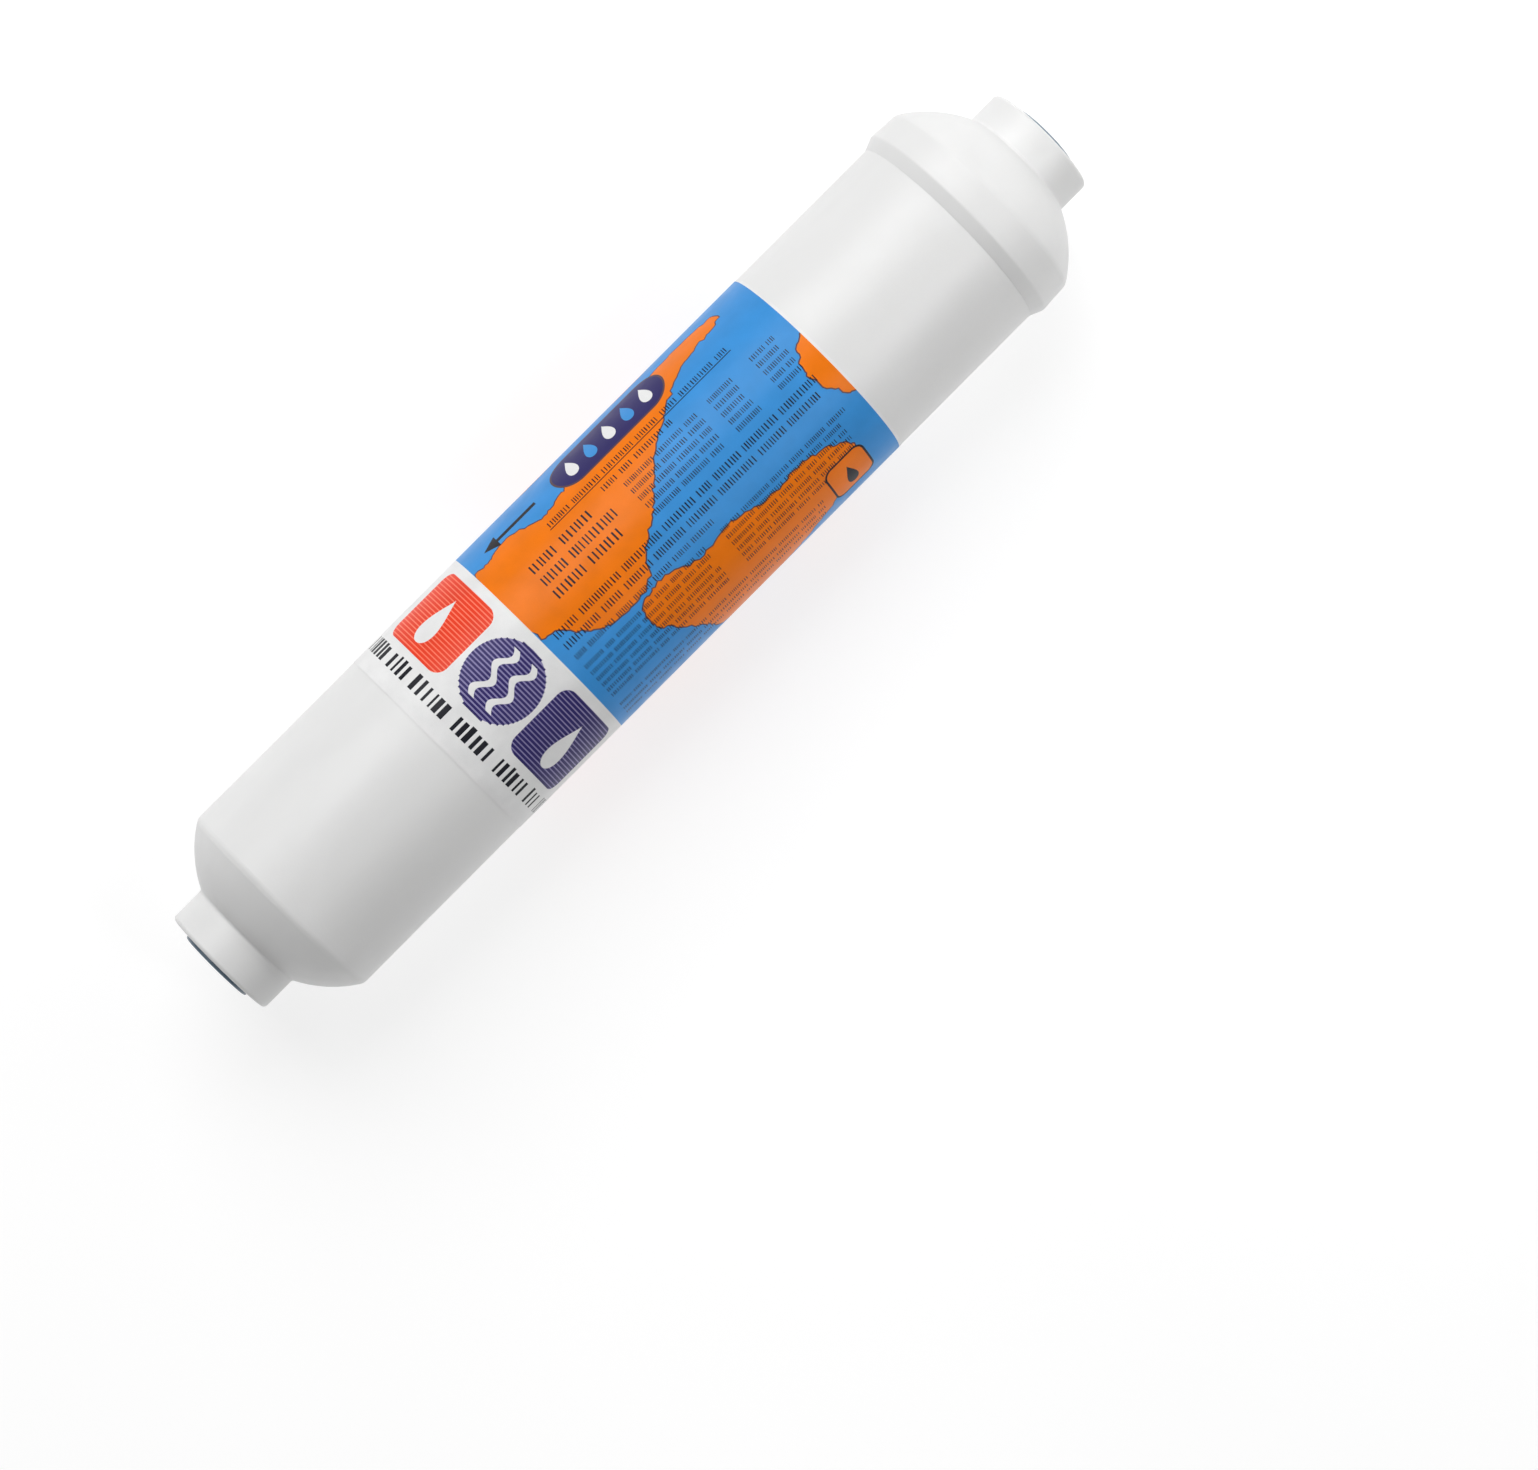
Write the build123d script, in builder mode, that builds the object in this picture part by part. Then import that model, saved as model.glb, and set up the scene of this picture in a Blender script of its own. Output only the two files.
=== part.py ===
from build123d import *

import math
import os

# Inline water filter: a tube with one domed end, a welded end cap, a wrapped label, a bed of
# granular carbon between pads and screens, and a push-in tube port in the hub at each end.
# Millimetres. The filter lies along X: the outlet hub is at -X, the inlet hub at +X.
# The origin is on the axis, half-way between the two hub faces. The label faces +Z.

# Driving dimensions
LENGTH = 254.0  # from hub face to hub face, 10 in
BODY_R = 25.4  # a 2 in tube
WALL = 2.5
HUB_R = 13.9
TUBE_R = 9.525 / 2  # the 3/8 in tube that pushes into each port

# Outlet end, as depths from its hub face and radii
OUTLET_HUB_LENGTH = 8.6
OUTLET_DOME_END = 19.1
OUTLET_DOME_CURVE = 28.0
OUTLET_INNER_DOME_END = 19.3
OUTLET_INNER_DOME_CURVE = 29.0
OUTLET_INNER_NECK = 9.6

# Inlet end, as depths from its hub face and radii
INLET_HUB_LENGTH = 7.9
CAP_DOME_END = 18.2
CAP_DOME_END_R = 25.78
CAP_DOME_CURVE = 30.0
CAP_SHOULDER_END = 19.5
CAP_SHOULDER_R = 26.3
CAP_SHOULDER_CURVE = 3.0
CAP_INNER_DOME_END = 16.8
CAP_INNER_DOME_CURVE = 27.0
CAP_INNER_NECK = 8.7
COLLAR_R = 26.7
COLLAR_END = 26.0
COLLAR_FOOT = 29.1
CAP_SKIRT_END = 32.0
CAP_SKIRT_WALL = 2.3
RIM_ROUND = 0.9
NECK_ROUND = 0.8
DOME_EDGE_ROUND = 3.0
COLLAR_ROUND = 1.5
EDGE_ROUND = 0.4

# The weld joint between tube and cap
WELD_STEP = 0.3  # how far the tube's end is turned down to take the cap's lip
TUBE_END_DEPTH = 20.8  # from the inlet hub's face

# Port, as depths from a hub face
FLANGE_RECESS_R = 9.35
FLANGE_RECESS_DEPTH = 2.2
CARTRIDGE_R = 8.0
CARTRIDGE_DEPTH = 13.4
GLAND_R = 7.2
GLAND_DEPTH = 15.9
SOCKET_GAP = 0.06
SOCKET_DEPTH = 21.5
PASSAGE_R = 3.5
BOSS_R = 9.8
BOSS_STEP = 16.5
BOSS_NOSE_R = 7.6
BOSS_END = 23.6

# Collet and the collar ring that holds it in
COLLET_PROUD = 1.0
COLLET_FLANGE_R = 9.0
COLLET_FLANGE_THICKNESS = 1.5
COLLET_BARREL_R = 6.6
COLLET_BORE_R = 5.1
COLLET_END = 10.6
COLLET_SLOT = 0.8
COLLET_SLOT_START = 4.0
COLLET_SLOT_PAIRS = 3
COLLAR_RING_END = 10.2
COLLAR_RING_GAP = 0.08
TAPER_START = 8.0
TAPER = 0.25  # radius gained for each millimetre of depth

# Toothed ring, spacer and seal
TEETH_OUTER = (9.0, 6.2)  # depth and radius of the ring's outer edge
TEETH_INNER = (9.7, 4.98)
TEETH_SHEET = 0.3
TEETH = 12
TEETH_GAP = 0.7
TEETH_LENGTH = 0.75
SPACER_THICKNESS = 1.0
SPACER_BORE_R = 5.1
SEAL_R = 1.19
SEAL_GAP = 0.04

# Filling, from the outlet end
LEDGE_DEPTH = 27.6
LEDGE_R = 21.6
INNER_GAP = 0.1
PLATE = 2.4
RIB_HEIGHT = 2.0
RIB_WIDTH = 1.2
RIBS = 8
RIB_START_R = 3.0
RIB_END_R = 20.0
HOLE_R = 1.0
HOLE_RINGS = ((8, 5.5), (16, 10.5), (24, 15.5))  # how many holes, and their circle's radius
PAD_THICKNESS = 6.0
SCREEN_THICKNESS = 0.6
PREFILTER_THICKNESS = 5.0
FOAM_THICKNESS = 8.0
PAD_ROUND = 0.8

# Label
LABEL_START = 67.0  # from the outlet hub's face
LABEL_END = 184.9
LABEL_FILM = 0.08
LABEL_SEAM = 0.6

# Worked-out sizes
INNER_R = BODY_R - WALL
SOCKET_R = TUBE_R + SOCKET_GAP
WELD_R = BODY_R - WELD_STEP
FILL_R = INNER_R - INNER_GAP
SKIRT_R = INNER_R - CAP_SKIRT_WALL
OUTLET_FACE = -LENGTH / 2
INLET_FACE = LENGTH / 2

os.makedirs("parts", exist_ok=True)


def inward(face_x):
    """The direction along X from a hub face into the filter."""
    return 1 if face_x < 0 else -1


def section_plane(face_x):
    """A plane for half sections: its x is the depth behind a hub face and its y the radius."""
    way = inward(face_x)
    return Plane(origin=(face_x, 0, 0), x_dir=(way, 0, 0), z_dir=(0, 0, way))


def cross_plane(face_x, depth):
    """A plane across the axis, at a depth behind a hub face, facing into the filter."""
    way = inward(face_x)
    return Plane(origin=(face_x + way * depth, 0, 0), x_dir=(0, 1, 0), z_dir=(way, 0, 0))


def nearest(sketch, point):
    """The corner of a section that lies at a point."""
    return sketch.vertices().sort_by_distance(point)[0]


def save(part, name):
    """Label a finished piece and write it as its own STEP file."""
    part.label = name
    export_step(part, f"parts/{name}.step")


# The wall of a port, from the outside of its boss through the bore to the hub's face
PORT_WALL = [
    (BOSS_STEP, BOSS_R),
    (BOSS_STEP + BOSS_R - BOSS_NOSE_R, BOSS_NOSE_R),
    (BOSS_END, BOSS_NOSE_R),
    (BOSS_END, PASSAGE_R),
    (SOCKET_DEPTH, PASSAGE_R),
    (SOCKET_DEPTH, SOCKET_R),
    (GLAND_DEPTH, SOCKET_R),
    (GLAND_DEPTH, GLAND_R),
    (CARTRIDGE_DEPTH, GLAND_R),
    (CARTRIDGE_DEPTH, CARTRIDGE_R),
    (FLANGE_RECESS_DEPTH, CARTRIDGE_R),
    (FLANGE_RECESS_DEPTH, FLANGE_RECESS_R),
    (0, FLANGE_RECESS_R),
    (0, HUB_R),
]

# Housing body: outlet hub, domed shoulder and tube in one moulding
body_end = LENGTH - COLLAR_FOOT
tube_end = LENGTH - TUBE_END_DEPTH
with BuildPart() as housing_body:
    with BuildSketch(section_plane(OUTLET_FACE)) as body_section:
        with BuildLine():
            Line((0, HUB_R), (OUTLET_HUB_LENGTH, HUB_R))
            RadiusArc((OUTLET_HUB_LENGTH, HUB_R), (OUTLET_DOME_END, BODY_R), OUTLET_DOME_CURVE)
            Polyline(
                (OUTLET_DOME_END, BODY_R),
                (body_end, BODY_R),
                (body_end, WELD_R),
                (tube_end, WELD_R),
                (tube_end, INNER_R),
                (LEDGE_DEPTH, INNER_R),
                (LEDGE_DEPTH, LEDGE_R),
                (OUTLET_INNER_DOME_END, LEDGE_R),
            )
            RadiusArc(
                (OUTLET_INNER_DOME_END, LEDGE_R),
                (OUTLET_INNER_NECK, BOSS_R),
                -OUTLET_INNER_DOME_CURVE,
            )
            Polyline((OUTLET_INNER_NECK, BOSS_R), *PORT_WALL)
        make_face()
        fillet(nearest(body_section, (0, HUB_R)), RIM_ROUND)
        fillet(nearest(body_section, (OUTLET_HUB_LENGTH, HUB_R)), NECK_ROUND)
        fillet(nearest(body_section, (OUTLET_DOME_END, BODY_R)), DOME_EDGE_ROUND)
    revolve(axis=Axis.X)
save(housing_body.part, "housing_body")

# End cap: inlet hub, domed shoulder and a collar welded over the tube's end
with BuildPart() as end_cap:
    with BuildSketch(section_plane(INLET_FACE)) as cap_section:
        with BuildLine():
            Line((0, HUB_R), (INLET_HUB_LENGTH, HUB_R))
            RadiusArc((INLET_HUB_LENGTH, HUB_R), (CAP_DOME_END, CAP_DOME_END_R), CAP_DOME_CURVE)
            RadiusArc(
                (CAP_DOME_END, CAP_DOME_END_R),
                (CAP_SHOULDER_END, CAP_SHOULDER_R),
                CAP_SHOULDER_CURVE,
            )
            Polyline(
                (CAP_SHOULDER_END, CAP_SHOULDER_R),
                (COLLAR_END, COLLAR_R),
                (COLLAR_FOOT, BODY_R),
                (COLLAR_FOOT, WELD_R),
                (TUBE_END_DEPTH, WELD_R),
                (TUBE_END_DEPTH, INNER_R),
                (CAP_SKIRT_END, INNER_R),
                (CAP_SKIRT_END, SKIRT_R),
                (CAP_INNER_DOME_END, SKIRT_R),
            )
            RadiusArc((CAP_INNER_DOME_END, SKIRT_R), (CAP_INNER_NECK, BOSS_R), -CAP_INNER_DOME_CURVE)
            Polyline((CAP_INNER_NECK, BOSS_R), *PORT_WALL)
        make_face()
        fillet(nearest(cap_section, (0, HUB_R)), RIM_ROUND)
        fillet(nearest(cap_section, (INLET_HUB_LENGTH, HUB_R)), NECK_ROUND)
        fillet(nearest(cap_section, (COLLAR_END, COLLAR_R)), COLLAR_ROUND)
    revolve(axis=Axis.X)
save(end_cap.part, "end_cap")

# Label: a printed film wrapped once round the tube, its seam at the back
seam_angle = math.degrees(LABEL_SEAM / BODY_R)
label_edge = Plane((0, 0, 0), x_dir=(1, 0, 0), z_dir=(0, 1, 0)).rotated((seam_angle / 2, 0, 0))
with BuildPart() as label:
    with BuildSketch(label_edge):
        with Locations((OUTLET_FACE + (LABEL_START + LABEL_END) / 2, BODY_R + LABEL_FILM / 2)):
            Rectangle(LABEL_END - LABEL_START, LABEL_FILM)
    revolve(axis=Axis.X, revolution_arc=360 - seam_angle)
save(label.part, "label")


def make_port_pieces(end, face_x):
    """The pieces inside one push-in port: collet, toothed ring, collar ring, spacer and seal."""
    section = section_plane(face_x)
    flange_under = COLLET_FLANGE_THICKNESS - COLLET_PROUD
    taper_gain = TAPER * (COLLAR_RING_END - TAPER_START)
    ring_bore_r = COLLET_BARREL_R + COLLAR_RING_GAP
    teeth_outline = [
        TEETH_OUTER,
        (TEETH_OUTER[0] + TEETH_SHEET, TEETH_OUTER[1]),
        (TEETH_INNER[0] + TEETH_SHEET, TEETH_INNER[1]),
        TEETH_INNER,
    ]

    with BuildPart() as collet:
        with BuildSketch(section) as collet_section:
            with BuildLine():
                Polyline(
                    (-COLLET_PROUD, COLLET_BORE_R),
                    (-COLLET_PROUD, COLLET_FLANGE_R),
                    (flange_under, COLLET_FLANGE_R),
                    (flange_under, COLLET_BARREL_R),
                    (TAPER_START, COLLET_BARREL_R),
                    (COLLAR_RING_END, COLLET_BARREL_R + taper_gain),
                    (COLLET_END, COLLET_BARREL_R + taper_gain),
                    (COLLET_END, COLLET_BORE_R),
                    close=True,
                )
            make_face()
            fillet(nearest(collet_section, (-COLLET_PROUD, COLLET_FLANGE_R)), EDGE_ROUND)
            chamfer(nearest(collet_section, (-COLLET_PROUD, COLLET_BORE_R)), EDGE_ROUND)
            with BuildLine():
                Polyline(*teeth_outline, close=True)
            make_face(mode=Mode.SUBTRACT)
        revolve(axis=Axis.X)
        with BuildSketch(cross_plane(face_x, COLLET_SLOT_START)):
            with PolarLocations(0, COLLET_SLOT_PAIRS, angular_range=180, endpoint=False):
                Rectangle(2 * CARTRIDGE_R, COLLET_SLOT)
        extrude(amount=COLLET_END, mode=Mode.SUBTRACT)
    save(collet.part, f"{end}_collet")

    with BuildPart() as grab_ring:
        with BuildSketch(section):
            with BuildLine():
                Polyline(*teeth_outline, close=True)
            make_face()
        revolve(axis=Axis.X)
        with BuildSketch(cross_plane(face_x, 0)):
            with PolarLocations(TEETH_INNER[1], TEETH, start_angle=180 / TEETH):
                Rectangle(2 * TEETH_LENGTH, TEETH_GAP)
        extrude(amount=COLLET_END, mode=Mode.SUBTRACT)
    save(grab_ring.part, f"{end}_grab_ring")

    with BuildPart() as collar_ring:
        with BuildSketch(section):
            with BuildLine():
                Polyline(
                    (FLANGE_RECESS_DEPTH, ring_bore_r),
                    (FLANGE_RECESS_DEPTH, CARTRIDGE_R),
                    (COLLAR_RING_END, CARTRIDGE_R),
                    (COLLAR_RING_END, ring_bore_r + taper_gain),
                    (TAPER_START, ring_bore_r),
                    close=True,
                )
            make_face()
        revolve(axis=Axis.X)
    save(collar_ring.part, f"{end}_collar_ring")

    with BuildPart() as spacer_ring:
        with BuildSketch(cross_plane(face_x, CARTRIDGE_DEPTH - SPACER_THICKNESS)):
            Circle(CARTRIDGE_R)
            Circle(SPACER_BORE_R, mode=Mode.SUBTRACT)
        extrude(amount=SPACER_THICKNESS)
    save(spacer_ring.part, f"{end}_spacer_ring")

    with BuildPart() as o_ring:
        with BuildSketch(section):
            with Locations(((CARTRIDGE_DEPTH + GLAND_DEPTH) / 2, TUBE_R + SEAL_GAP + SEAL_R)):
                Circle(SEAL_R)
        revolve(axis=Axis.X)
    save(o_ring.part, f"{end}_o_ring")


make_port_pieces("outlet", OUTLET_FACE)
make_port_pieces("inlet", INLET_FACE)


def make_plate(name, port_side):
    """A perforated disc with radial ribs on the side that faces a port."""
    with BuildPart() as plate:
        with BuildSketch(port_side):
            Circle(FILL_R)
            for count, circle_r in HOLE_RINGS:
                with PolarLocations(circle_r, count, start_angle=180 / count):
                    Circle(HOLE_R, mode=Mode.SUBTRACT)
        extrude(amount=-PLATE)
        with BuildSketch(port_side):
            with PolarLocations((RIB_START_R + RIB_END_R) / 2, RIBS):
                Rectangle(RIB_END_R - RIB_START_R, RIB_WIDTH)
        extrude(amount=RIB_HEIGHT)
    save(plate.part, name)


def make_disc(name, start, end, edge_round=0):
    """A plain round layer of the filling, between two depths behind the outlet hub's face."""
    with BuildPart() as disc:
        with BuildSketch(cross_plane(OUTLET_FACE, start)):
            Circle(FILL_R)
        extrude(amount=end - start)
        if edge_round:
            fillet(disc.edges(), edge_round)
    save(disc.part, name)


# Filling: layers in the order that water leaves them, from the outlet ledge to the cap's skirt
pad_start = LEDGE_DEPTH + PLATE
outlet_screen_start = pad_start + PAD_THICKNESS
bed_start = outlet_screen_start + SCREEN_THICKNESS
distributor_end = LENGTH - CAP_SKIRT_END
foam_start = distributor_end - PLATE - FOAM_THICKNESS
prefilter_start = foam_start - PREFILTER_THICKNESS
bed_end = prefilter_start - SCREEN_THICKNESS

make_plate("outlet_support_plate", cross_plane(INLET_FACE, LENGTH - LEDGE_DEPTH))
make_disc("outlet_felt_pad", pad_start, outlet_screen_start, PAD_ROUND)
make_disc("outlet_screen", outlet_screen_start, bed_start)
make_disc("carbon_bed", bed_start, bed_end)
make_disc("inlet_screen", bed_end, prefilter_start)
make_disc("inlet_felt_pad", prefilter_start, foam_start, PAD_ROUND)
make_disc("expansion_foam", foam_start, distributor_end - PLATE, PAD_ROUND)
make_plate("inlet_distributor", cross_plane(OUTLET_FACE, distributor_end))
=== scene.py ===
import math
import random

import bpy
import numpy as np
from mathutils import Matrix, Vector, noise
from mathutils.geometry import delaunay_2d_cdt


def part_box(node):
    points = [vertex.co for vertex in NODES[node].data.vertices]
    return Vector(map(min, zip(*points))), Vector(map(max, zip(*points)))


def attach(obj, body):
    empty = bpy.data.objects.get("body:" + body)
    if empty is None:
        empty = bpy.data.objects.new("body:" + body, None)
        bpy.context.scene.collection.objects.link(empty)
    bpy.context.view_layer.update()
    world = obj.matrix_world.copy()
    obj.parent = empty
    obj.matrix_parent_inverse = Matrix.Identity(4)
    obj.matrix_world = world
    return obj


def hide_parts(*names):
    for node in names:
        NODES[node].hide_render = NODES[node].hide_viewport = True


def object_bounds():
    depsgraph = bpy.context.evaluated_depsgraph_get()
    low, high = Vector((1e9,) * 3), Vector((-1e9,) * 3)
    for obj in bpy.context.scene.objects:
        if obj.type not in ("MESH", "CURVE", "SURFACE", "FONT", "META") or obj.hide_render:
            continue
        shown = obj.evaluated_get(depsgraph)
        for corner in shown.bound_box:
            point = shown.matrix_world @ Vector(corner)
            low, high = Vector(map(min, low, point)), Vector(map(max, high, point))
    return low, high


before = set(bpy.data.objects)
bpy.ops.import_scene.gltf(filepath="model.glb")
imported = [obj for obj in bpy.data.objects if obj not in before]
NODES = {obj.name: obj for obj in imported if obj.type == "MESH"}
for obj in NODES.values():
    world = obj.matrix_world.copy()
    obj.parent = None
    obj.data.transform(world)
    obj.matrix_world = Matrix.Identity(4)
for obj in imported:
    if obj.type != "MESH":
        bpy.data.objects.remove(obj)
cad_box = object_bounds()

# Inline water filter, lying along X with its label facing +Z. Metres, except where a name or
# comment says millimetres.
MM = 0.001

# Nearly all of a noise lies between these two values
NOISE_LOW, NOISE_HIGH = 0.3, 0.7


# --------------------------------------------------------------------------- materials


class Finish:
    """A Principled material whose colour, roughness and relief are worked out by nodes."""

    def __init__(self, name, colour, roughness, **sockets):
        self.material = bpy.data.materials.new(name)
        self.material.use_nodes = True
        self.tree = self.material.node_tree
        self.shader = self.tree.nodes["Principled BSDF"]
        self.set(Base_Color=(*colour, 1), Roughness=roughness, **sockets)
        self.place = self.node("TexCoord").outputs["Object"]

    def set(self, **sockets):
        """Set or link the shader's own sockets, with _ for each space in their names."""
        self.fill(self.shader, sockets)

    def fill(self, made, sockets):
        for name, value in sockets.items():
            socket = made.inputs[name.replace("_", " ")]
            if isinstance(value, bpy.types.NodeSocket):
                self.tree.links.new(value, socket)
            else:
                socket.default_value = value

    def node(self, kind, **sockets):
        """A shader node, with names starting in small letters set as its properties."""
        made = self.tree.nodes.new("ShaderNode" + kind)
        for name in [name for name in sockets if name[0].islower()]:
            setattr(made, name, sockets.pop(name))
        self.fill(made, sockets)
        return made

    def noise(self, size, detail=2.0, stretch=(1, 1, 1), twist=0.0):
        """Noise from 0 to 1 with features of about one size, longer where stretch is larger."""
        scale = [1 / (size * s) for s in stretch]
        place = self.node("Mapping", Vector=self.place, Scale=scale).outputs["Vector"]
        made = self.node("TexNoise", Vector=place, Scale=1, Detail=detail, Distortion=twist)
        return made.outputs["Fac"]

    def cells(self, size):
        """Distance to the nearest cell centre of random cells of about one size."""
        made = self.node("TexVoronoi", Vector=self.place, Scale=1 / size)
        return made.outputs["Distance"]

    def spread(self, value, low, high):
        """A noise moved to a range of its own."""
        made = self.node("MapRange", Value=value)
        self.fill(made, {"From Min": NOISE_LOW, "From Max": NOISE_HIGH})
        self.fill(made, {"To Min": low, "To Max": high})
        return made.outputs["Result"]

    def mix(self, first, second, share):
        """Two values mixed, with the second's share."""
        made = self.node("Mix", data_type="FLOAT", Factor=share)
        self.tree.links.new(first, made.inputs[2])
        self.tree.links.new(second, made.inputs[3])
        return made.outputs[0]

    def colours(self, value, low_colour, high_colour, low=NOISE_LOW, high=NOISE_HIGH):
        """The base colour runs from one colour to another as a value rises."""
        ramp = self.node("ValToRGB", Fac=value)
        ends = ramp.color_ramp.elements
        ends[0].position, ends[1].position = low, high
        ends[0].color, ends[1].color = (*low_colour, 1), (*high_colour, 1)
        self.set(Base_Color=ramp.outputs["Color"])

    def relief(self, height, depth):
        """Fine relief, with a depth in metres."""
        bump = self.node("Bump", Height=height, Distance=depth)
        self.set(Normal=bump.outputs["Normal"])

    def cover(self, *nodes):
        """Put this finish on CAD nodes, in place of what they came with."""
        for name in nodes:
            mesh = NODES[name].data
            mesh.materials.clear()
            mesh.materials.append(self.material)


def shade(colour, factor):
    """A colour made darker or lighter."""
    return tuple(min(1.0, c * factor) for c in colour)


def moulded_plastic(name, colour, roughness, grain, **sockets):
    """Injection-moulded plastic: a fine mould grain, faint flow marks and uneven gloss."""
    finish = Finish(name, colour, roughness, **sockets)
    flow = finish.noise(14 * MM, detail=3, stretch=(2.5, 1, 1), twist=0.4)
    finish.colours(flow, shade(colour, 0.975), shade(colour, 1.015))
    finish.set(Roughness=finish.spread(finish.noise(3 * MM), roughness - 0.05, roughness + 0.06))
    fine = finish.noise(grain, detail=3)
    finish.relief(finish.mix(fine, finish.noise(2.2 * MM), 0.35), 0.02 * MM)
    return finish


def add_hard_finishes():
    """Finishes of the CAD nodes whose shapes stay as they are."""
    white = moulded_plastic(
        "white_polypropylene", (0.73, 0.73, 0.727), 0.42, 0.35 * MM,
        Subsurface_Weight=0.12, Subsurface_Radius=(1, 0.95, 0.9), Subsurface_Scale=1.6 * MM,
    )
    white.cover("housing_body", "end_cap")

    blue = moulded_plastic("blue_grey_acetal", (0.13, 0.19, 0.25), 0.27, 0.2 * MM)
    blue.cover("inlet_collet", "outlet_collet")

    grey = moulded_plastic("grey_acetal", (0.3, 0.32, 0.35), 0.34, 0.25 * MM)
    for end in ("inlet", "outlet"):
        grey.cover(end + "_collar_ring", end + "_spacer_ring")

    natural = moulded_plastic(
        "natural_polypropylene", (0.7, 0.69, 0.63), 0.36, 0.4 * MM,
        Subsurface_Weight=0.5, Subsurface_Radius=(1, 0.98, 0.9), Subsurface_Scale=2.5 * MM,
    )
    natural.cover("inlet_distributor", "outlet_support_plate")

    steel = Finish("spring_steel", (0.62, 0.62, 0.61), 0.24, Metallic=1.0)
    rolled = steel.noise(0.12 * MM, detail=4, stretch=(1, 14, 1))
    steel.colours(rolled, (0.5, 0.5, 0.5), (0.7, 0.7, 0.69))
    steel.set(Roughness=steel.spread(rolled, 0.18, 0.36))
    steel.relief(rolled, 0.004 * MM)
    steel.cover("inlet_grab_ring", "outlet_grab_ring")

    rubber = Finish("seal_rubber", (0.018, 0.018, 0.019), 0.48)
    bloom = rubber.noise(1.1 * MM, detail=5)
    rubber.colours(bloom, (0.012, 0.012, 0.013), (0.032, 0.032, 0.034))
    rubber.set(Roughness=rubber.spread(bloom, 0.4, 0.62))
    rubber.relief(rubber.noise(0.12 * MM, detail=3), 0.008 * MM)
    rubber.cover("inlet_o_ring", "outlet_o_ring")


# --------------------------------------------------------------------------- mesh helpers


def add_piece(name, verts, faces, body, finishes, smooth=True):
    """A new piece that rides on a body, with the given finishes in its material slots."""
    mesh = bpy.data.meshes.new(name)
    mesh.from_pydata(verts, [], faces)
    for finish in finishes:
        mesh.materials.append(finish.material)
    if smooth:
        mesh.shade_smooth()
    mesh.update()
    piece = bpy.data.objects.new(name, mesh)
    bpy.context.scene.collection.objects.link(piece)
    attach(piece, body)
    return piece


def add_tube(verts, faces, path, radius, side, sides):
    """Add a closed tube along a path, with a direction that is never along the path as its side."""
    start = len(verts)
    last = len(path) - 1
    for i, point in enumerate(path):
        along = (path[min(i + 1, last)] - path[max(i - 1, 0)]).normalized()
        up = along.cross(side).normalized()
        for k in range(sides):
            turn = 2 * math.pi * k / sides
            verts.append(point + radius * (math.cos(turn) * side + math.sin(turn) * up))
    for i in range(last):
        for k in range(sides):
            a, b = start + i * sides + k, start + i * sides + (k + 1) % sides
            faces.append((a, b, b + sides, a + sides))
    faces.append(tuple(start + k for k in reversed(range(sides))))
    faces.append(tuple(start + last * sides + k for k in range(sides)))


def drum(low, high, across, along):
    """Points and faces of a closed drum along X that fills a box: the round faces are a square grid
    with a number of cells across, and the wall has a number of cells along."""
    radius = (high.y - low.y) / 2
    centre = (low + high) / 2

    def spot(x, column, row):
        """A point of a round face, from its place in the square grid."""
        u, v = 2 * column / across - 1, 2 * row / across - 1
        y, z = u * math.sqrt(1 - v * v / 2), v * math.sqrt(1 - u * u / 2)
        return Vector((x, centre.y + radius * y, centre.z + radius * z))

    rim = [(i, 0) for i in range(across)] + [(across, i) for i in range(across)]
    rim += [(across - i, across) for i in range(across)] + [(0, across - i) for i in range(across)]
    verts, faces, index = [], [], {}
    for end, x in enumerate((low.x, high.x)):
        for column in range(across + 1):
            for row in range(across + 1):
                index[end, column, row] = len(verts)
                verts.append(spot(x, column, row))
    for end in (0, 1):
        for column in range(across):
            for row in range(across):
                face = [index[end, column, row], index[end, column + 1, row]]
                face += [index[end, column + 1, row + 1], index[end, column, row + 1]]
                faces.append(face if end else face[::-1])
    rings = [[index[0, c, r] for c, r in rim]]
    for step in range(1, along):
        x = low.x + (high.x - low.x) * step / along
        rings.append(range(len(verts), len(verts) + len(rim)))
        verts += [spot(x, c, r) for c, r in rim]
    rings.append([index[1, c, r] for c, r in rim])
    for near, far in zip(rings, rings[1:]):
        for i in range(len(rim)):
            j = (i + 1) % len(rim)
            faces.append((near[i], near[j], far[j], far[i]))
    return verts, faces


def pillow(point, low, high, bulge):
    """Round a drum's rim: the wall bulges between its ends, and the ends fall away at the rim."""
    centre = (low + high) / 2
    half, radius = (high.x - low.x) / 2, (high.y - low.y) / 2
    out = Vector((0, point.y - centre.y, point.z - centre.z))
    depth, width = (point.x - centre.x) / half, out.length / radius
    narrow = 1 - bulge / radius * abs(depth) ** 4
    flat = 1 - 0.7 * bulge / half * width ** 14
    return Vector((centre.x + depth * half * flat, 0, 0)) + out * narrow


# --------------------------------------------------------------------------- filling


def add_padding(name, across, along, bulge, surface, finish, fibres=0):
    """A soft round layer: a drum with a rounded rim whose surface is pushed in by a formula."""
    low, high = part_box(name)
    centre = (low + high) / 2
    verts, faces = drum(low, high, across, along)
    shaped = []
    for point in verts:
        point = pillow(point, low, high, bulge)
        inward = centre - point
        inward.x *= 4
        shaped.append(point + inward.normalized() * surface(point))
    if fibres:
        add_fibres(shaped, faces, low, high, fibres)
    piece = add_piece(name + "_padding", shaped, faces, "filter", [finish])
    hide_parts(name)


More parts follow.
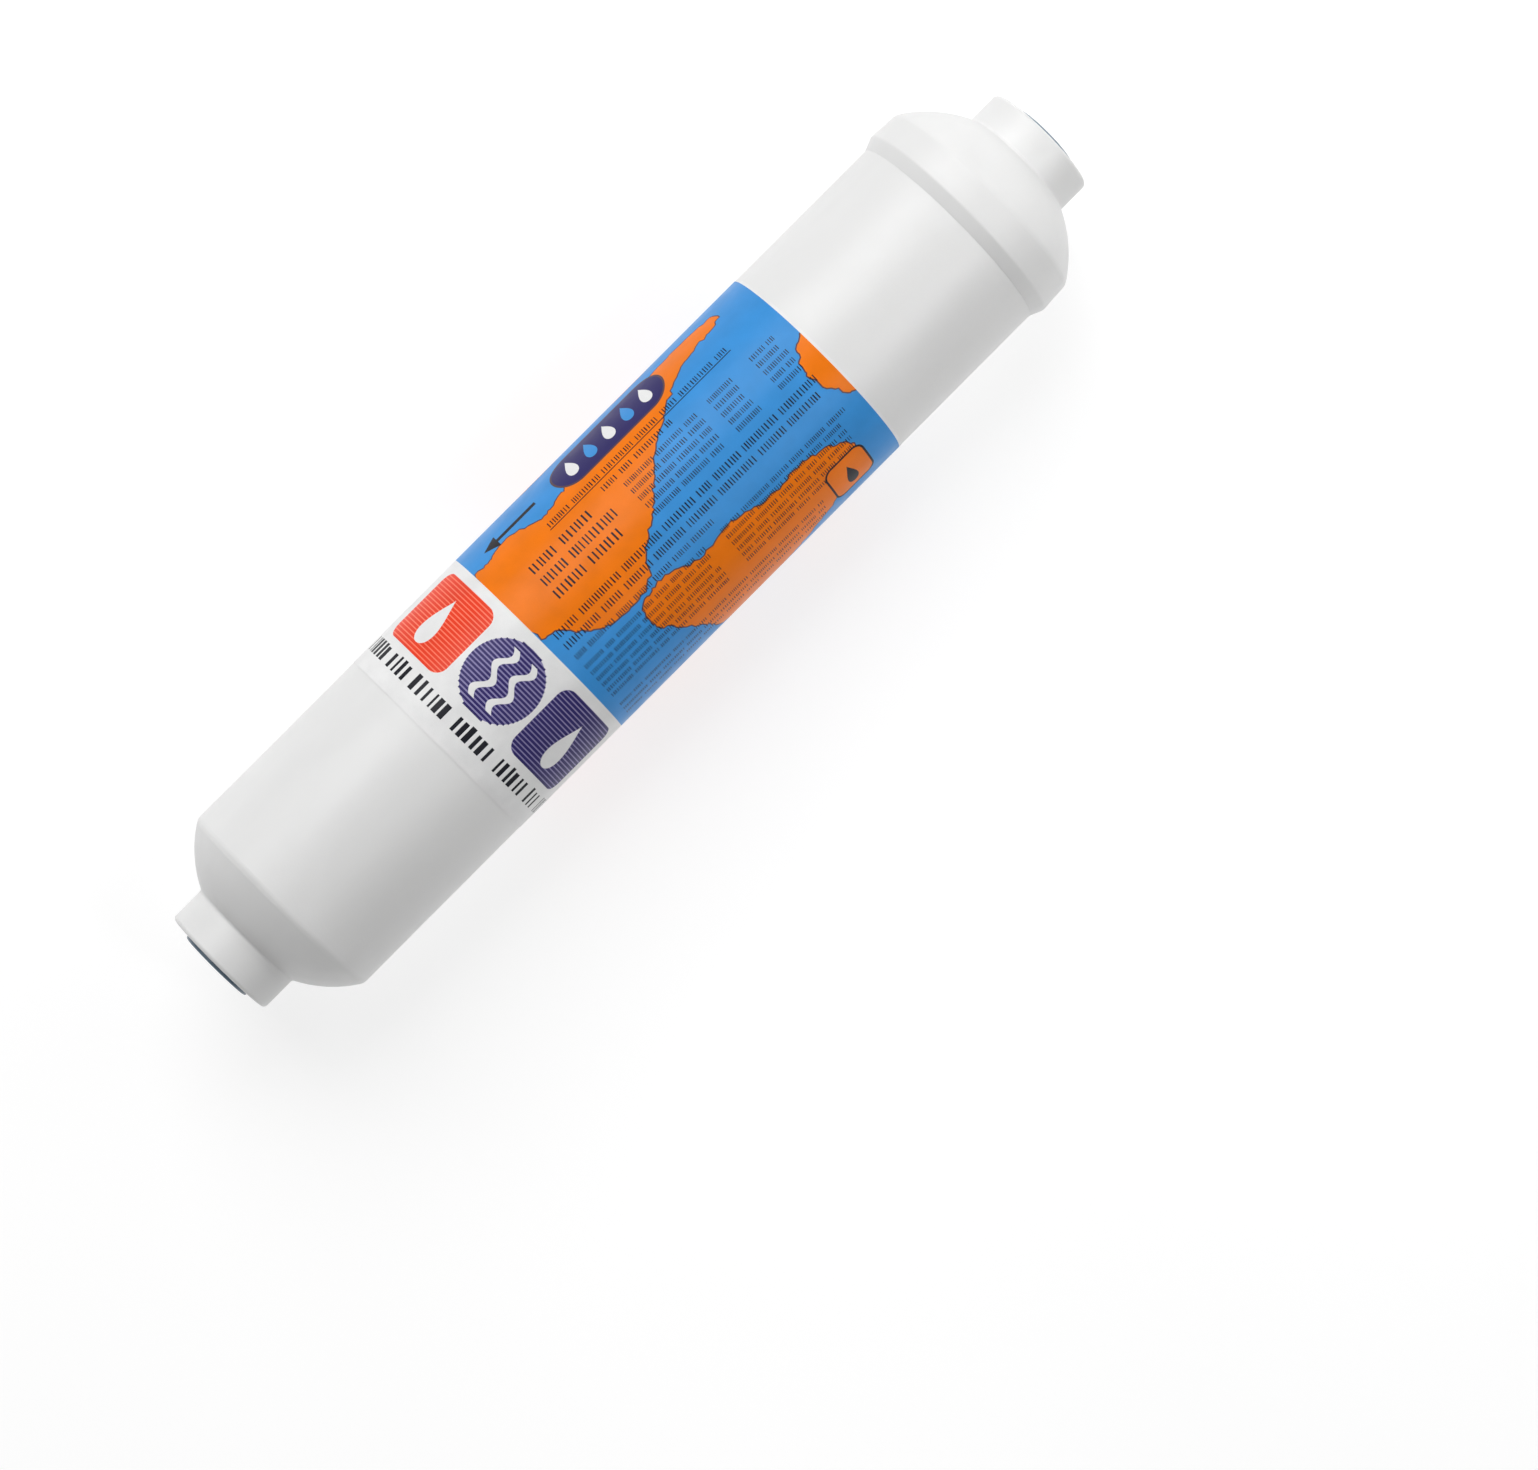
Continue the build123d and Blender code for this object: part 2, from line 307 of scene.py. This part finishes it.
def add_fibres(verts, faces, low, high, count):
    """Loose fibres lying on the two faces of a felt layer."""
    dice = random.Random(low.x)
    reach_limit = (high.y - low.y) / 2 - 1.5 * MM
    thickness, depth, rise = 0.035 * MM, 0.16 * MM, 0.12 * MM
    steps = 7
    for i in range(count):
        x, inward = (low.x, 1) if i % 2 else (high.x, -1)
        turn, reach = dice.uniform(0, 2 * math.pi), reach_limit * math.sqrt(dice.random())
        place = Vector((0, reach * math.cos(turn), reach * math.sin(turn)))
        heading, bend = dice.uniform(0, 2 * math.pi), dice.uniform(-60, 60)
        path, length = [], dice.uniform(2, 5) * MM
        for step in range(steps + 1):
            lift = math.sin(math.pi * step / steps) * rise
            path.append(Vector((x + inward * (depth - lift), place.y, place.z)))
            heading += bend * length / steps
            place += Vector((0, math.cos(heading), math.sin(heading))) * length / steps
        if place.length < reach_limit:
            add_tube(verts, faces, path, thickness, Vector((1, 0, 0)), sides=4)


def add_soft_layers():
    """Expansion foam and felt pads, in place of their plain CAD solids."""
    foam = Finish("open_cell_foam", (0.62, 0.6, 0.5), 0.9, Subsurface_Weight=0.2,
                  Subsurface_Radius=(1, 0.9, 0.7), Subsurface_Scale=1 * MM)
    pores = foam.cells(0.55 * MM)
    # Painted shade: the foam is painted darker in its pores, where the relief pits are.
    foam.colours(pores, (0.4, 0.385, 0.3), (0.7, 0.68, 0.58), low=0.1, high=0.55)
    foam.relief(pores, 0.15 * MM)

    def foam_pits(point):
        near = noise.voronoi(point / (1.25 * MM))[0][0]
        return 0.42 * MM * max(0.0, 1 - (near / 0.55) ** 2)

    add_padding("expansion_foam", 110, 24, 0.9 * MM, foam_pits, foam)

    felt = Finish("needled_felt", (0.8, 0.8, 0.77), 0.95, Sheen_Weight=0.3, Sheen_Roughness=0.5)
    hairs = felt.noise(0.1 * MM, detail=4, stretch=(1, 6, 1), twist=2.5)
    felt.colours(hairs, (0.62, 0.62, 0.59), (0.86, 0.86, 0.84))
    felt.relief(felt.mix(hairs, felt.noise(0.6 * MM, detail=3), 0.4), 0.08 * MM)

    def needled(point):
        needle = noise.voronoi(point / (1.6 * MM))[0][0]
        return 0.1 * MM * noise.noise(point / (0.8 * MM)) + 0.22 * MM * max(0.0, 1 - needle / 0.3)

    for name in ("inlet_felt_pad", "outlet_felt_pad"):
        add_padding(name, 90, 16, 0.7 * MM, needled, felt, fibres=900)


def add_carbon_bed():
    """Granular carbon: a drum whose surface is broken up into angular grains."""
    low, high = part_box("carbon_bed")
    centre = (low + high) / 2
    finish = Finish("granular_carbon", (0.02, 0.02, 0.021), 0.6)
    # Painted shade: the carbon is painted darker towards each cell's edge, between the grains, and
    # lighter in each grain's middle.
    grains = finish.cells(1.5 * MM)
    finish.colours(grains, (0.045, 0.045, 0.048), (0.008, 0.008, 0.009), low=0.1, high=0.7)
    finish.set(Roughness=finish.spread(finish.noise(0.9 * MM, detail=4), 0.35, 0.8))
    finish.relief(finish.noise(0.25 * MM, detail=4), 0.06 * MM)
    verts, faces = drum(low, high, across=72, along=270)
    grain, margin = 1.7 * MM, 0.01 * MM
    shaped = []
    for point in verts:
        near, second = noise.voronoi(point / grain)[0][:2]
        crevice = 0.75 * MM * max(0.0, 1 - 3.2 * (second - near)) ** 1.5
        tilt = 0.16 * MM * (1 + noise.noise(point / (1.1 * MM)))
        inward = Vector((0, centre.y - point.y, centre.z - point.z)).normalized()
        if min(point.x - low.x, high.x - point.x) < margin:
            inward = Vector((math.copysign(1, centre.x - point.x), 0, 0)) + 0.3 * inward
        shaped.append(point + inward * (crevice + tilt))
    piece = add_piece("carbon_granules", shaped, faces, "filter", [finish], smooth=False)
    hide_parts("carbon_bed")


def add_screens():
    """Woven discs: two sets of threads over and under each other, in a fused rim."""
    finish = Finish("screen_thread", (0.75, 0.77, 0.78), 0.38)
    streaks = finish.noise(0.3 * MM, detail=3)
    finish.colours(streaks, (0.68, 0.7, 0.72), (0.84, 0.85, 0.86))
    finish.set(Roughness=finish.spread(streaks, 0.3, 0.48))
    finish.relief(finish.noise(0.08 * MM), 0.004 * MM)
    threads, steps_per_crossing = 46, 3
    for name in ("inlet_screen", "outlet_screen"):
        low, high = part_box(name)
        middle_x = (low.x + high.x) / 2
        outer, rise = (high.y - low.y) / 2, (high.x - low.x) / 4
        rim_radius = (high.x - low.x) / 2
        pitch = 2 * (outer - rim_radius) / threads
        verts, faces = [], []
        for way in (0, 1):
            for i in range(1, threads):
                offset = (i - threads / 2) * pitch
                half = math.sqrt((outer - rim_radius) ** 2 - offset ** 2)
                steps = max(2, round(2 * half / pitch * steps_per_crossing))
                path = []
                for step in range(steps + 1):
                    run = -half + 2 * half * step / steps
                    wave = rise * math.cos(math.pi * (run / pitch + threads / 2 + i + way))
                    spot = (run, offset) if way else (offset, run)
                    path.append(Vector((middle_x + wave, *spot)))
                side = Vector((0, 0, 1)) if way else Vector((0, 1, 0))
                add_tube(verts, faces, path, rise, side, sides=5)
        add_ring(verts, faces, middle_x, outer - rim_radius, rim_radius, around=160, sides=10)
        piece = add_piece(name + "_weave", verts, faces, "filter", [finish])
        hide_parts(name)


def add_ring(verts, faces, x, radius, thickness, around, sides):
    """Add a round ring about the X axis."""
    start = len(verts)
    for i in range(around):
        turn = 2 * math.pi * i / around
        for k in range(sides):
            roll = 2 * math.pi * k / sides
            reach = radius + thickness * math.cos(roll)
            spot = (reach * math.cos(turn), reach * math.sin(turn))
            verts.append(Vector((x + thickness * math.sin(roll), *spot)))
    for i in range(around):
        for k in range(sides):
            a, b = start + i * sides + k, start + i * sides + (k + 1) % sides
            c, d = (start + (i + 1) % around * sides + j % sides for j in (k + 1, k))
            faces.append((a, b, c, d))


# --------------------------------------------------------------------------- label

# The label is drawn flat, in millimetres: along runs from the edge nearer the outlet, and
# around is the arc from the middle of the front, towards +Y.
LABEL_LOW, LABEL_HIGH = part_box("label")
LABEL_R = LABEL_HIGH.y / MM
LABEL_LENGTH = (LABEL_HIGH.x - LABEL_LOW.x) / MM
LABEL_HALF = math.pi * LABEL_R - 0.3  # half its width, up to the seam
LABEL_FILM = 0.08
PANEL_START = 31.2  # the blue panel, with a white margin on either side
PANEL_END = LABEL_LENGTH - 0.7
PANEL_MARGIN = 0.6
FACET = math.radians(2)  # the film is cut into strips this wide, so that it lies round

# Blocks and disc on the white panel
BLOCK_START = 10
BLOCK_LENGTH = 18.7
BLOCK_HEIGHT = 22
BLOCK_CORNER = 3
DISC_R = 9.3
STRIPES = 21
STRIPE_PITCH = 0.9
BLOCK_STRIPE = 0.62
DISC_STRIPE = 0.558


class Artwork:
    """Flat shapes in printing inks, each laid over those before it."""

    def __init__(self, inks):
        self.inks = list(inks)
        self.shapes = []

    def shape(self, ink, outline):
        self.shapes.append((self.inks.index(ink), outline))

    def ink_at(self, spots):
        """The ink number on top at each of many spots."""
        found = np.zeros(len(spots), int)
        x, y = spots[:, 0], spots[:, 1]
        for ink, outline in self.shapes:
            ends = np.array(outline)
            (left, low), (right, high) = ends.min(axis=0), ends.max(axis=0)
            near = np.flatnonzero((x >= left) & (x <= right) & (y >= low) & (y <= high))
            inside = np.zeros(len(near), bool)
            for (x0, y0), (x1, y1) in zip(ends, np.roll(ends, -1, axis=0)):
                crosses = (y0 > y[near]) != (y1 > y[near])
                if y0 != y1:
                    inside ^= crosses & (x[near] < x0 + (x1 - x0) * (y[near] - y0) / (y1 - y0))
            found[near[inside]] = ink
        return found

    def bar(self, ink, along, around, length, height):
        """A bar that starts at a point on its lower left."""
        far, high = along + length, around + height
        self.shape(ink, [(along, around), (far, around), (far, high), (along, high)])

    def drop(self, ink, along, around, size, sideways=False):
        """A water drop that points up, towards +Y, or sideways, towards +X."""
        outline, points = [], 40
        for i in range(points):
            turn = 2 * math.pi * i / points
            taper = math.sin(turn / 2) ** 1.5
            across, up = size * 0.62 * math.sin(turn) * taper, size * math.cos(turn)
            if sideways:
                across, up = up, across
            outline.append((along + across, around + up))
        self.shape(ink, outline)

    def wave(self, ink, along, around, length, swing, width):
        """A wavy band of two waves along the label."""
        steps = 40
        turns = [(i / steps, swing * math.sin(4 * math.pi * i / steps)) for i in range(steps + 1)]
        near = [(along + length * t, around + y - width / 2) for t, y in turns]
        self.shape(ink, near + [(x, y + width) for x, y in reversed(near)])


def smooth_outline(corners, ragged, seed):
    """A closed curve through given corners, with a slightly ragged edge."""
    outline, steps, lump = [], 8, 1.3
    count = len(corners)
    for i in range(count):
        before, start, end, after = (Vector(corners[(i + k) % count]) for k in (-1, 0, 1, 2))
        for step in range(steps):
            t = step / steps
            bend = (end - before) * t + (2 * before - 5 * start + 4 * end - after) * t * t
            bend += (3 * start - before - 3 * end + after) * t ** 3
            point = start + bend / 2
            spot = Vector((point.x, point.y, seed))
            far_spot = spot / lump + Vector((9, 9, 9))
            push = Vector((noise.noise(spot / lump), noise.noise(far_spot)))
            outline.append(tuple(point + ragged * push))
    return outline


def widened(outline, width):
    """An outline moved outwards by a width."""
    moved = []
    count = len(outline)
    for i in range(count):
        before, after = Vector(outline[i - 1]), Vector(outline[(i + 1) % count])
        along = (after - before).normalized()
        moved.append((outline[i][0] + width * along.y, outline[i][1] - width * along.x))
    return moved


def add_words(art, ink, start, end, around, height, dice):
    """A line of blank words: rows of thin upright strokes that only look like small print."""
    along = start
    while along < end - height:
        word_end = min(end, along + dice.uniform(2, 7) * height)
        while along < word_end:
            stroke = height * dice.uniform(0.14, 0.2)
            art.bar(ink, along, around, stroke, height)
            along += stroke + height * dice.uniform(0.2, 0.4)
        along += height * 0.6


def draw_striped_block(art, ink, ground, around):
    """A block with round corners, in stripes over a paler ground."""
    block = (BLOCK_START, around, BLOCK_LENGTH, BLOCK_HEIGHT, BLOCK_CORNER)
    art.shape(ground, rounded_block(*block))
    for i in range(STRIPES):
        art.shape(ink, clipped_stripe(BLOCK_START + STRIPE_PITCH * i, BLOCK_STRIPE, block))


def draw_striped_disc(art, ink, ground, around):
    """A disc in stripes over a paler ground."""
    half_length = BLOCK_LENGTH / 2
    middle = BLOCK_START + half_length
    edge = [(middle + half_length * x, around + DISC_R * y) for x, y in unit_circle(48)]
    art.shape(ground, edge)
    for i in range(STRIPES):
        offset = (2 * i + 1) / STRIPES - 1
        half = DISC_R * math.sqrt(1 - offset ** 2)
        art.bar(ink, BLOCK_START + STRIPE_PITCH * i, around - half, DISC_STRIPE, 2 * half)


def draw_white_panel(art):
    """Two striped blocks and a disc, with drops and waves left white, twice round the label,
    beside a line of bars of uneven width."""
    for shift in (0, -78.5):
        draw_striped_block(art, "red", "pale red", shift + 10.6)
        draw_striped_disc(art, "navy", "pale navy", shift)
        draw_striped_block(art, "navy", "pale navy", shift - 32.6)
        for around in (21.6, -21.6):
            art.drop("white", 18.6, shift + around, 6.2, sideways=True)
        for around in (-2.6, 2.6):
            art.wave("white", 12.4, shift + around, 14, 1.1, 1.7)
    dice = random.Random(3)
    bar_start, bar_pitch, gap = 4.2, 1.9, 1.6
    for start, end in ((-37, 37), (-LABEL_HALF + 3, -41), (41, LABEL_HALF - 3)):
        around = start
        while around < end - 1.5:
            group_end = min(end, around + dice.uniform(5, 12))
            while around < group_end - 1:
                length = dice.choice((3.6, 3.6, 4.0))
                art.bar("black", bar_start, around, length, dice.uniform(0.5, 1.4))
                around += bar_pitch
            around += gap


def unit_circle(count):
    """Points round a circle of radius one."""
    turns = (2 * math.pi * i / count for i in range(count))
    return [(math.cos(turn), math.sin(turn)) for turn in turns]


def rounded_block(along, around, length, height, corner, points=6):
    """The outline of a block with round corners."""
    outline = []
    near, far = along + corner, along + length - corner
    low, high = around + corner, around + height - corner
    centres = [(far, low), (far, high), (near, high), (near, low)]
    for quarter, (x, y) in enumerate(centres):
        for i in range(points + 1):
            turn = math.pi / 2 * (quarter - 1 + i / points)
            outline.append((x + corner * math.cos(turn), y + corner * math.sin(turn)))
    return outline


def clipped_stripe(start, width, block):
    """A stripe across a block with round corners, as wide as the block is there."""
    along, around, length, height, corner = block
    edges = []
    for x in (start, start + width):
        inset = max(0.0, corner - (x - along), corner - (along + length - x))
        inset = min(inset, corner)
        cut = corner - math.sqrt(corner ** 2 - inset ** 2)
        edges.append((x, around + cut, around + height - cut))
    (a, a_low, a_high), (b, b_low, b_high) = edges
    return [(a, a_low), (b, b_low), (b, b_high), (a, a_high)]


# Irregular patches on the blue panel, as listed corners
PATCHES = [
    [(31, 21), (36, 23), (42, 24.5), (50, 21), (56, 22), (64, 25.5), (74, 27), (86, 30), (97, 31.5),
     (107, 30), (107, 26.5), (99, 25), (91, 22), (84, 17), (77, 12), (71, 6), (66, 1.5), (60, -2),
     (57, -7), (49, -8.5), (41, -6), (36, -1), (31, 3)],
    [(53, -10), (60, -9), (68, -12), (78, -11), (88, -13.5), (98, -13), (106, -16), (109, -20),
     (104, -24), (98, -30), (90, -34), (80, -38), (70, -39.5), (63, -36), (60, -28), (55, -21),
     (51, -15)],
    [(112, 0), (114, 5), (118.5, 7), (118.5, -9), (114.5, -7)],
    [(38, -52), (48, -47), (58, -50), (66, -47), (72, -52), (70, -60), (60, -64), (52, -71),
     (43, -70), (36, -62)],
    [(80, -50), (92, -46), (104, -50), (110, -58), (104, -66), (92, -64), (84, -60)],
    [(45, 42), (56, 38), (70, 41), (84, 38), (96, 42), (104, 50), (96, 58), (84, 56), (72, 62),
     (60, 60), (50, 66), (42, 58)],
    [(76, -76), (88, -74), (100, -77), (100, -79.6), (76, -79.6)],
    [(96, 66), (106, 64), (114, 70), (108, 77), (98, 75)],
]


def draw_blue_panel(art):
    """A blue ground with orange patches, blocks of blank small print, a badge and an arrow."""
    margin_start = PANEL_START - PANEL_MARGIN
    art.bar("white", margin_start, -LABEL_HALF, LABEL_LENGTH - margin_start, 2 * LABEL_HALF)
    ground = [(PANEL_START, -LABEL_HALF), (PANEL_END, -LABEL_HALF)]
    art.shape("blue", ground + [(PANEL_END, LABEL_HALF), (PANEL_START, LABEL_HALF)])
    for seed, corners in enumerate(PATCHES):
        outline = smooth_outline(corners[::-1], ragged=0.9, seed=seed)
        outline = [keep_on_panel(point) for point in outline]
        art.shape("patch edge", [keep_on_panel(point) for point in widened(outline, 0.32)])
        art.shape("orange", outline)
    draw_badge(art)
    draw_small_print(art)


def keep_on_panel(point):
    """A point moved back onto the blue panel."""
    along = min(max(point[0], PANEL_START), PANEL_END)
    return along, min(max(point[1], -LABEL_HALF), LABEL_HALF)


def draw_badge(art):
    """A plain pill-shaped badge with five drops, and a flow arrow towards the outlet."""
    art.shape("patch edge", rounded_block(57, 20.6, 33.4, 12.4, 6.1, points=12))
    art.shape("navy", rounded_block(57.5, 21.1, 32.4, 11.4, 5.6, points=12))
    for i, along in enumerate((62.5, 68.1, 73.7, 79.3, 84.9)):
        art.drop("blue" if i % 2 else "white", along, 26.8, 3.4)
    art.shape("black", [(36.2, 26.7), (40.2, 24.3), (40.2, 29.1)])
    art.bar("black", 40.2, 26.1, 11.5, 1.2)


def draw_small_print(art):
    """Blank lines of several sizes where a label has its table, notes and directions."""
    dice = random.Random(11)
    ink = "black"
    art.bar(ink, 49.6, 16.6, 54.8, 0.25)
    add_words(art, ink, 50, 104, 17.2, 1.5, dice)
    add_words(art, ink, 63.6, 84.4, 13.9, 1.5, dice)
    for i, end in enumerate((58, 62, 60)):
        add_words(art, ink, 40.4, end, 11.6 - 3.9 * i, 2.3, dice)
    for row in range(5):
        around = 10.8 - 2.25 * row
        add_words(art, ink, 67.6, 89.2, around, 1.25, dice)
        add_words(art, ink, 92.8, 99.6, around, 1.25, dice)
        add_words(art, ink, 105.6, 112.4, around, 1.25, dice)
    add_words(art, ink, 34, 112.4, -2.2, 1.7, dice)
    add_words(art, ink, 34, 112.4, -5.3, 1.7, dice)
    add_words(art, ink, 34, 75.6, -8.3, 1.3, dice)
    for row in range(6):
        add_words(art, ink, 34, 70, -11.4 - 2.1 * row, 1.15, dice)
        add_words(art, ink, 75.2, 110 if row else 112.4, -11.4 - 2.1 * row, 1.15, dice)
    for row in range(3):
        add_words(art, ink, 34, 96, -26.4 - 2.6 * row, 1.15, dice)
    art.shape(ink, rounded_block(99, -31.6, 11.4, 12, 2.4))
    art.shape("orange", rounded_block(99.5, -31.1, 10.4, 11, 2))
    art.drop(ink, 104.7, -26.2, 3.4)
    for row in range(4):
        add_words(art, ink, 40, 106, 46 + 2.6 * row, 1.3, dice)
        add_words(art, ink, 40, 106, -56 - 2.6 * row, 1.3, dice)


def label_finish(name, colour):
    """Printed film: a thin even gloss over ink with a faint print grain."""
    finish = Finish(name, colour, 0.36, Specular_IOR_Level=0.16)
    grain = finish.mix(finish.noise(0.12 * MM, detail=2), finish.noise(6 * MM, detail=3), 0.6)
    finish.colours(grain, shade(colour, 0.9), shade(colour, 1.06))
    finish.set(Roughness=finish.spread(finish.noise(4 * MM, detail=3), 0.3, 0.42))
    finish.relief(finish.noise(5 * MM, detail=2, stretch=(3, 1, 1)), 0.02 * MM)
    return finish


INKS = {
    "white": (0.76, 0.76, 0.76),
    "blue": (0.042, 0.265, 0.64),
    "orange": (0.83, 0.182, 0.002),
    "patch edge": (0.09, 0.05, 0.06),
    "red": (0.78, 0.045, 0.016),
    "pale red": (0.9, 0.2, 0.12),
    "navy": (0.026, 0.02, 0.12),
    "pale navy": (0.25, 0.22, 0.42),
    "black": (0.012, 0.012, 0.018),
}


def wrapped(point, radius):
    """A point of the flat artwork on the filter, at a radius in millimetres."""
    angle, reach = point[1] / LABEL_R, radius * MM
    return Vector((LABEL_LOW.x + point[0] * MM, reach * math.sin(angle), reach * math.cos(angle)))


def add_label():
    """The printed film: its artwork cut into flat inks and wrapped round the tube."""
    art = Artwork(INKS)
    art.bar("white", 0, -LABEL_HALF, LABEL_LENGTH, 2 * LABEL_HALF)
    draw_white_panel(art)
    draw_blue_panel(art)

    points, lines = [], []
    for _, outline in art.shapes:
        start, count = len(points), len(outline)
        points += [Vector(point) for point in outline]
        lines += [(start + i, start + (i + 1) % count) for i in range(count)]
    strips = round(2 * LABEL_HALF / LABEL_R / FACET)
    for i in range(1, strips):
        around = -LABEL_HALF + 2 * LABEL_HALF * i / strips
        lines.append((len(points), len(points) + 1))
        points += [Vector((0, around)), Vector((LABEL_LENGTH, around))]
    flat, _, faces, _, _, _ = delaunay_2d_cdt(points, lines, [], 0, 1e-5)
    corners = np.array([[flat[i] for i in face] for face in faces])
    inks = art.ink_at(corners.mean(axis=1)).tolist()

    count = len(flat)
    verts = [wrapped(p, LABEL_R) for p in flat] + [wrapped(p, LABEL_R - LABEL_FILM) for p in flat]
    back = [[i + count for i in reversed(face)] for face in faces]
    ways = {(a, b) for face in faces for a, b in zip(face, face[1:] + face[:1])}
    rim = [(a, b) for a, b in sorted(ways) if (b, a) not in ways]
    walls = [(b, a, a + count, b + count) for a, b in rim]

    names = ["print_" + name.replace(" ", "_") for name in INKS]
    finishes = [label_finish(name, colour) for name, colour in zip(names, INKS.values())]
    piece = add_piece("printed_label", verts, faces + back + walls, "filter", finishes)
    paper = [art.inks.index("white")] * (len(back) + len(walls))
    piece.data.polygons.foreach_set("material_index", inks + paper)
    piece.data.set_sharp_from_angle(angle=math.radians(30))
    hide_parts("label")


# --------------------------------------------------------------------------- studio


def add_floor():
    """A plain pale floor that gives off light itself, like a light table, so shadows stay faint."""
    reach = 14.0
    finish = Finish("studio_floor", (0.35, 0.35, 0.35), 0.9, Specular_IOR_Level=0.0)
    finish.set(Emission_Color=(1, 1, 1, 1), Emission_Strength=0.7)
    finish.colours(finish.noise(0.2, detail=2), (0.34, 0.34, 0.34), (0.36, 0.36, 0.36))
    mesh = bpy.data.meshes.new("floor")
    level = cad_box[0][2]
    corners = [(x * reach, y * reach, level) for x, y in ((-1, -1), (1, -1), (1, 1), (-1, 1))]
    mesh.from_pydata(corners, [], [(0, 1, 2, 3)])
    mesh.materials.append(finish.material)
    floor = bpy.data.objects.new("floor", mesh)
    bpy.context.scene.collection.objects.link(floor)


def pointing(place, target, across):
    """A placement at a point that looks at a target, with its own X near a direction."""
    back = (Vector(place) - Vector(target)).normalized()
    up = back.cross(Vector(across)).normalized()
    turned = Matrix((up.cross(back), up, back)).transposed().to_4x4()
    return Matrix.Translation(place) @ turned


def add_softbox(name, place, size, power, target=(0, 0, 0), spread=180):
    """A square area light that points at a target, with the angle in degrees that a grid leaves it."""
    light = bpy.data.lights.new(name, "AREA")
    light.shape, light.size, light.energy = "SQUARE", size, power
    light.spread = math.radians(spread)
    lamp = bpy.data.objects.new(name, light)
    lamp.matrix_world = pointing(place, target, (1, 0, 0))
    bpy.context.scene.collection.objects.link(lamp)


def add_studio():
    """Soft light from the top left of the picture, and an even pale surround."""
    world = bpy.data.worlds.new("studio")
    world.use_nodes = True
    background = world.node_tree.nodes["Background"]
    background.inputs["Color"].default_value = (1, 1, 1, 1)
    background.inputs["Strength"].default_value = 0.27
    bpy.context.scene.world = world
    add_softbox("key", (0.6, 1.35, 1.6), 1.7, 39)
    add_softbox("cap_side", (1.4, -0.3, 0.9), 1.2, 3.5)
    add_softbox("cap_fill", (0.45, -0.75, 1.2), 0.5, 0.34, target=(0.25, 0, 0), spread=36)
    bpy.context.scene.view_settings.view_transform = "Standard"


def add_camera():
    """Almost straight above the filter, which lies across the picture from corner to corner."""
    data = bpy.data.cameras.new("camera")
    data.lens = 130.03
    data.sensor_width = 36
    camera = bpy.data.objects.new("camera", data)
    place, target = (-0.0619, 0.0165, 1.2109), (-0.0074, -0.0498, 0.0)
    roll = math.radians(45.09)
    camera.matrix_world = pointing(place, target, (math.cos(roll), -math.sin(roll), 0))
    bpy.context.scene.collection.objects.link(camera)
    bpy.context.scene.camera = camera


add_hard_finishes()
add_label()
add_soft_layers()
add_carbon_bed()
add_screens()
add_floor()
add_studio()
add_camera()
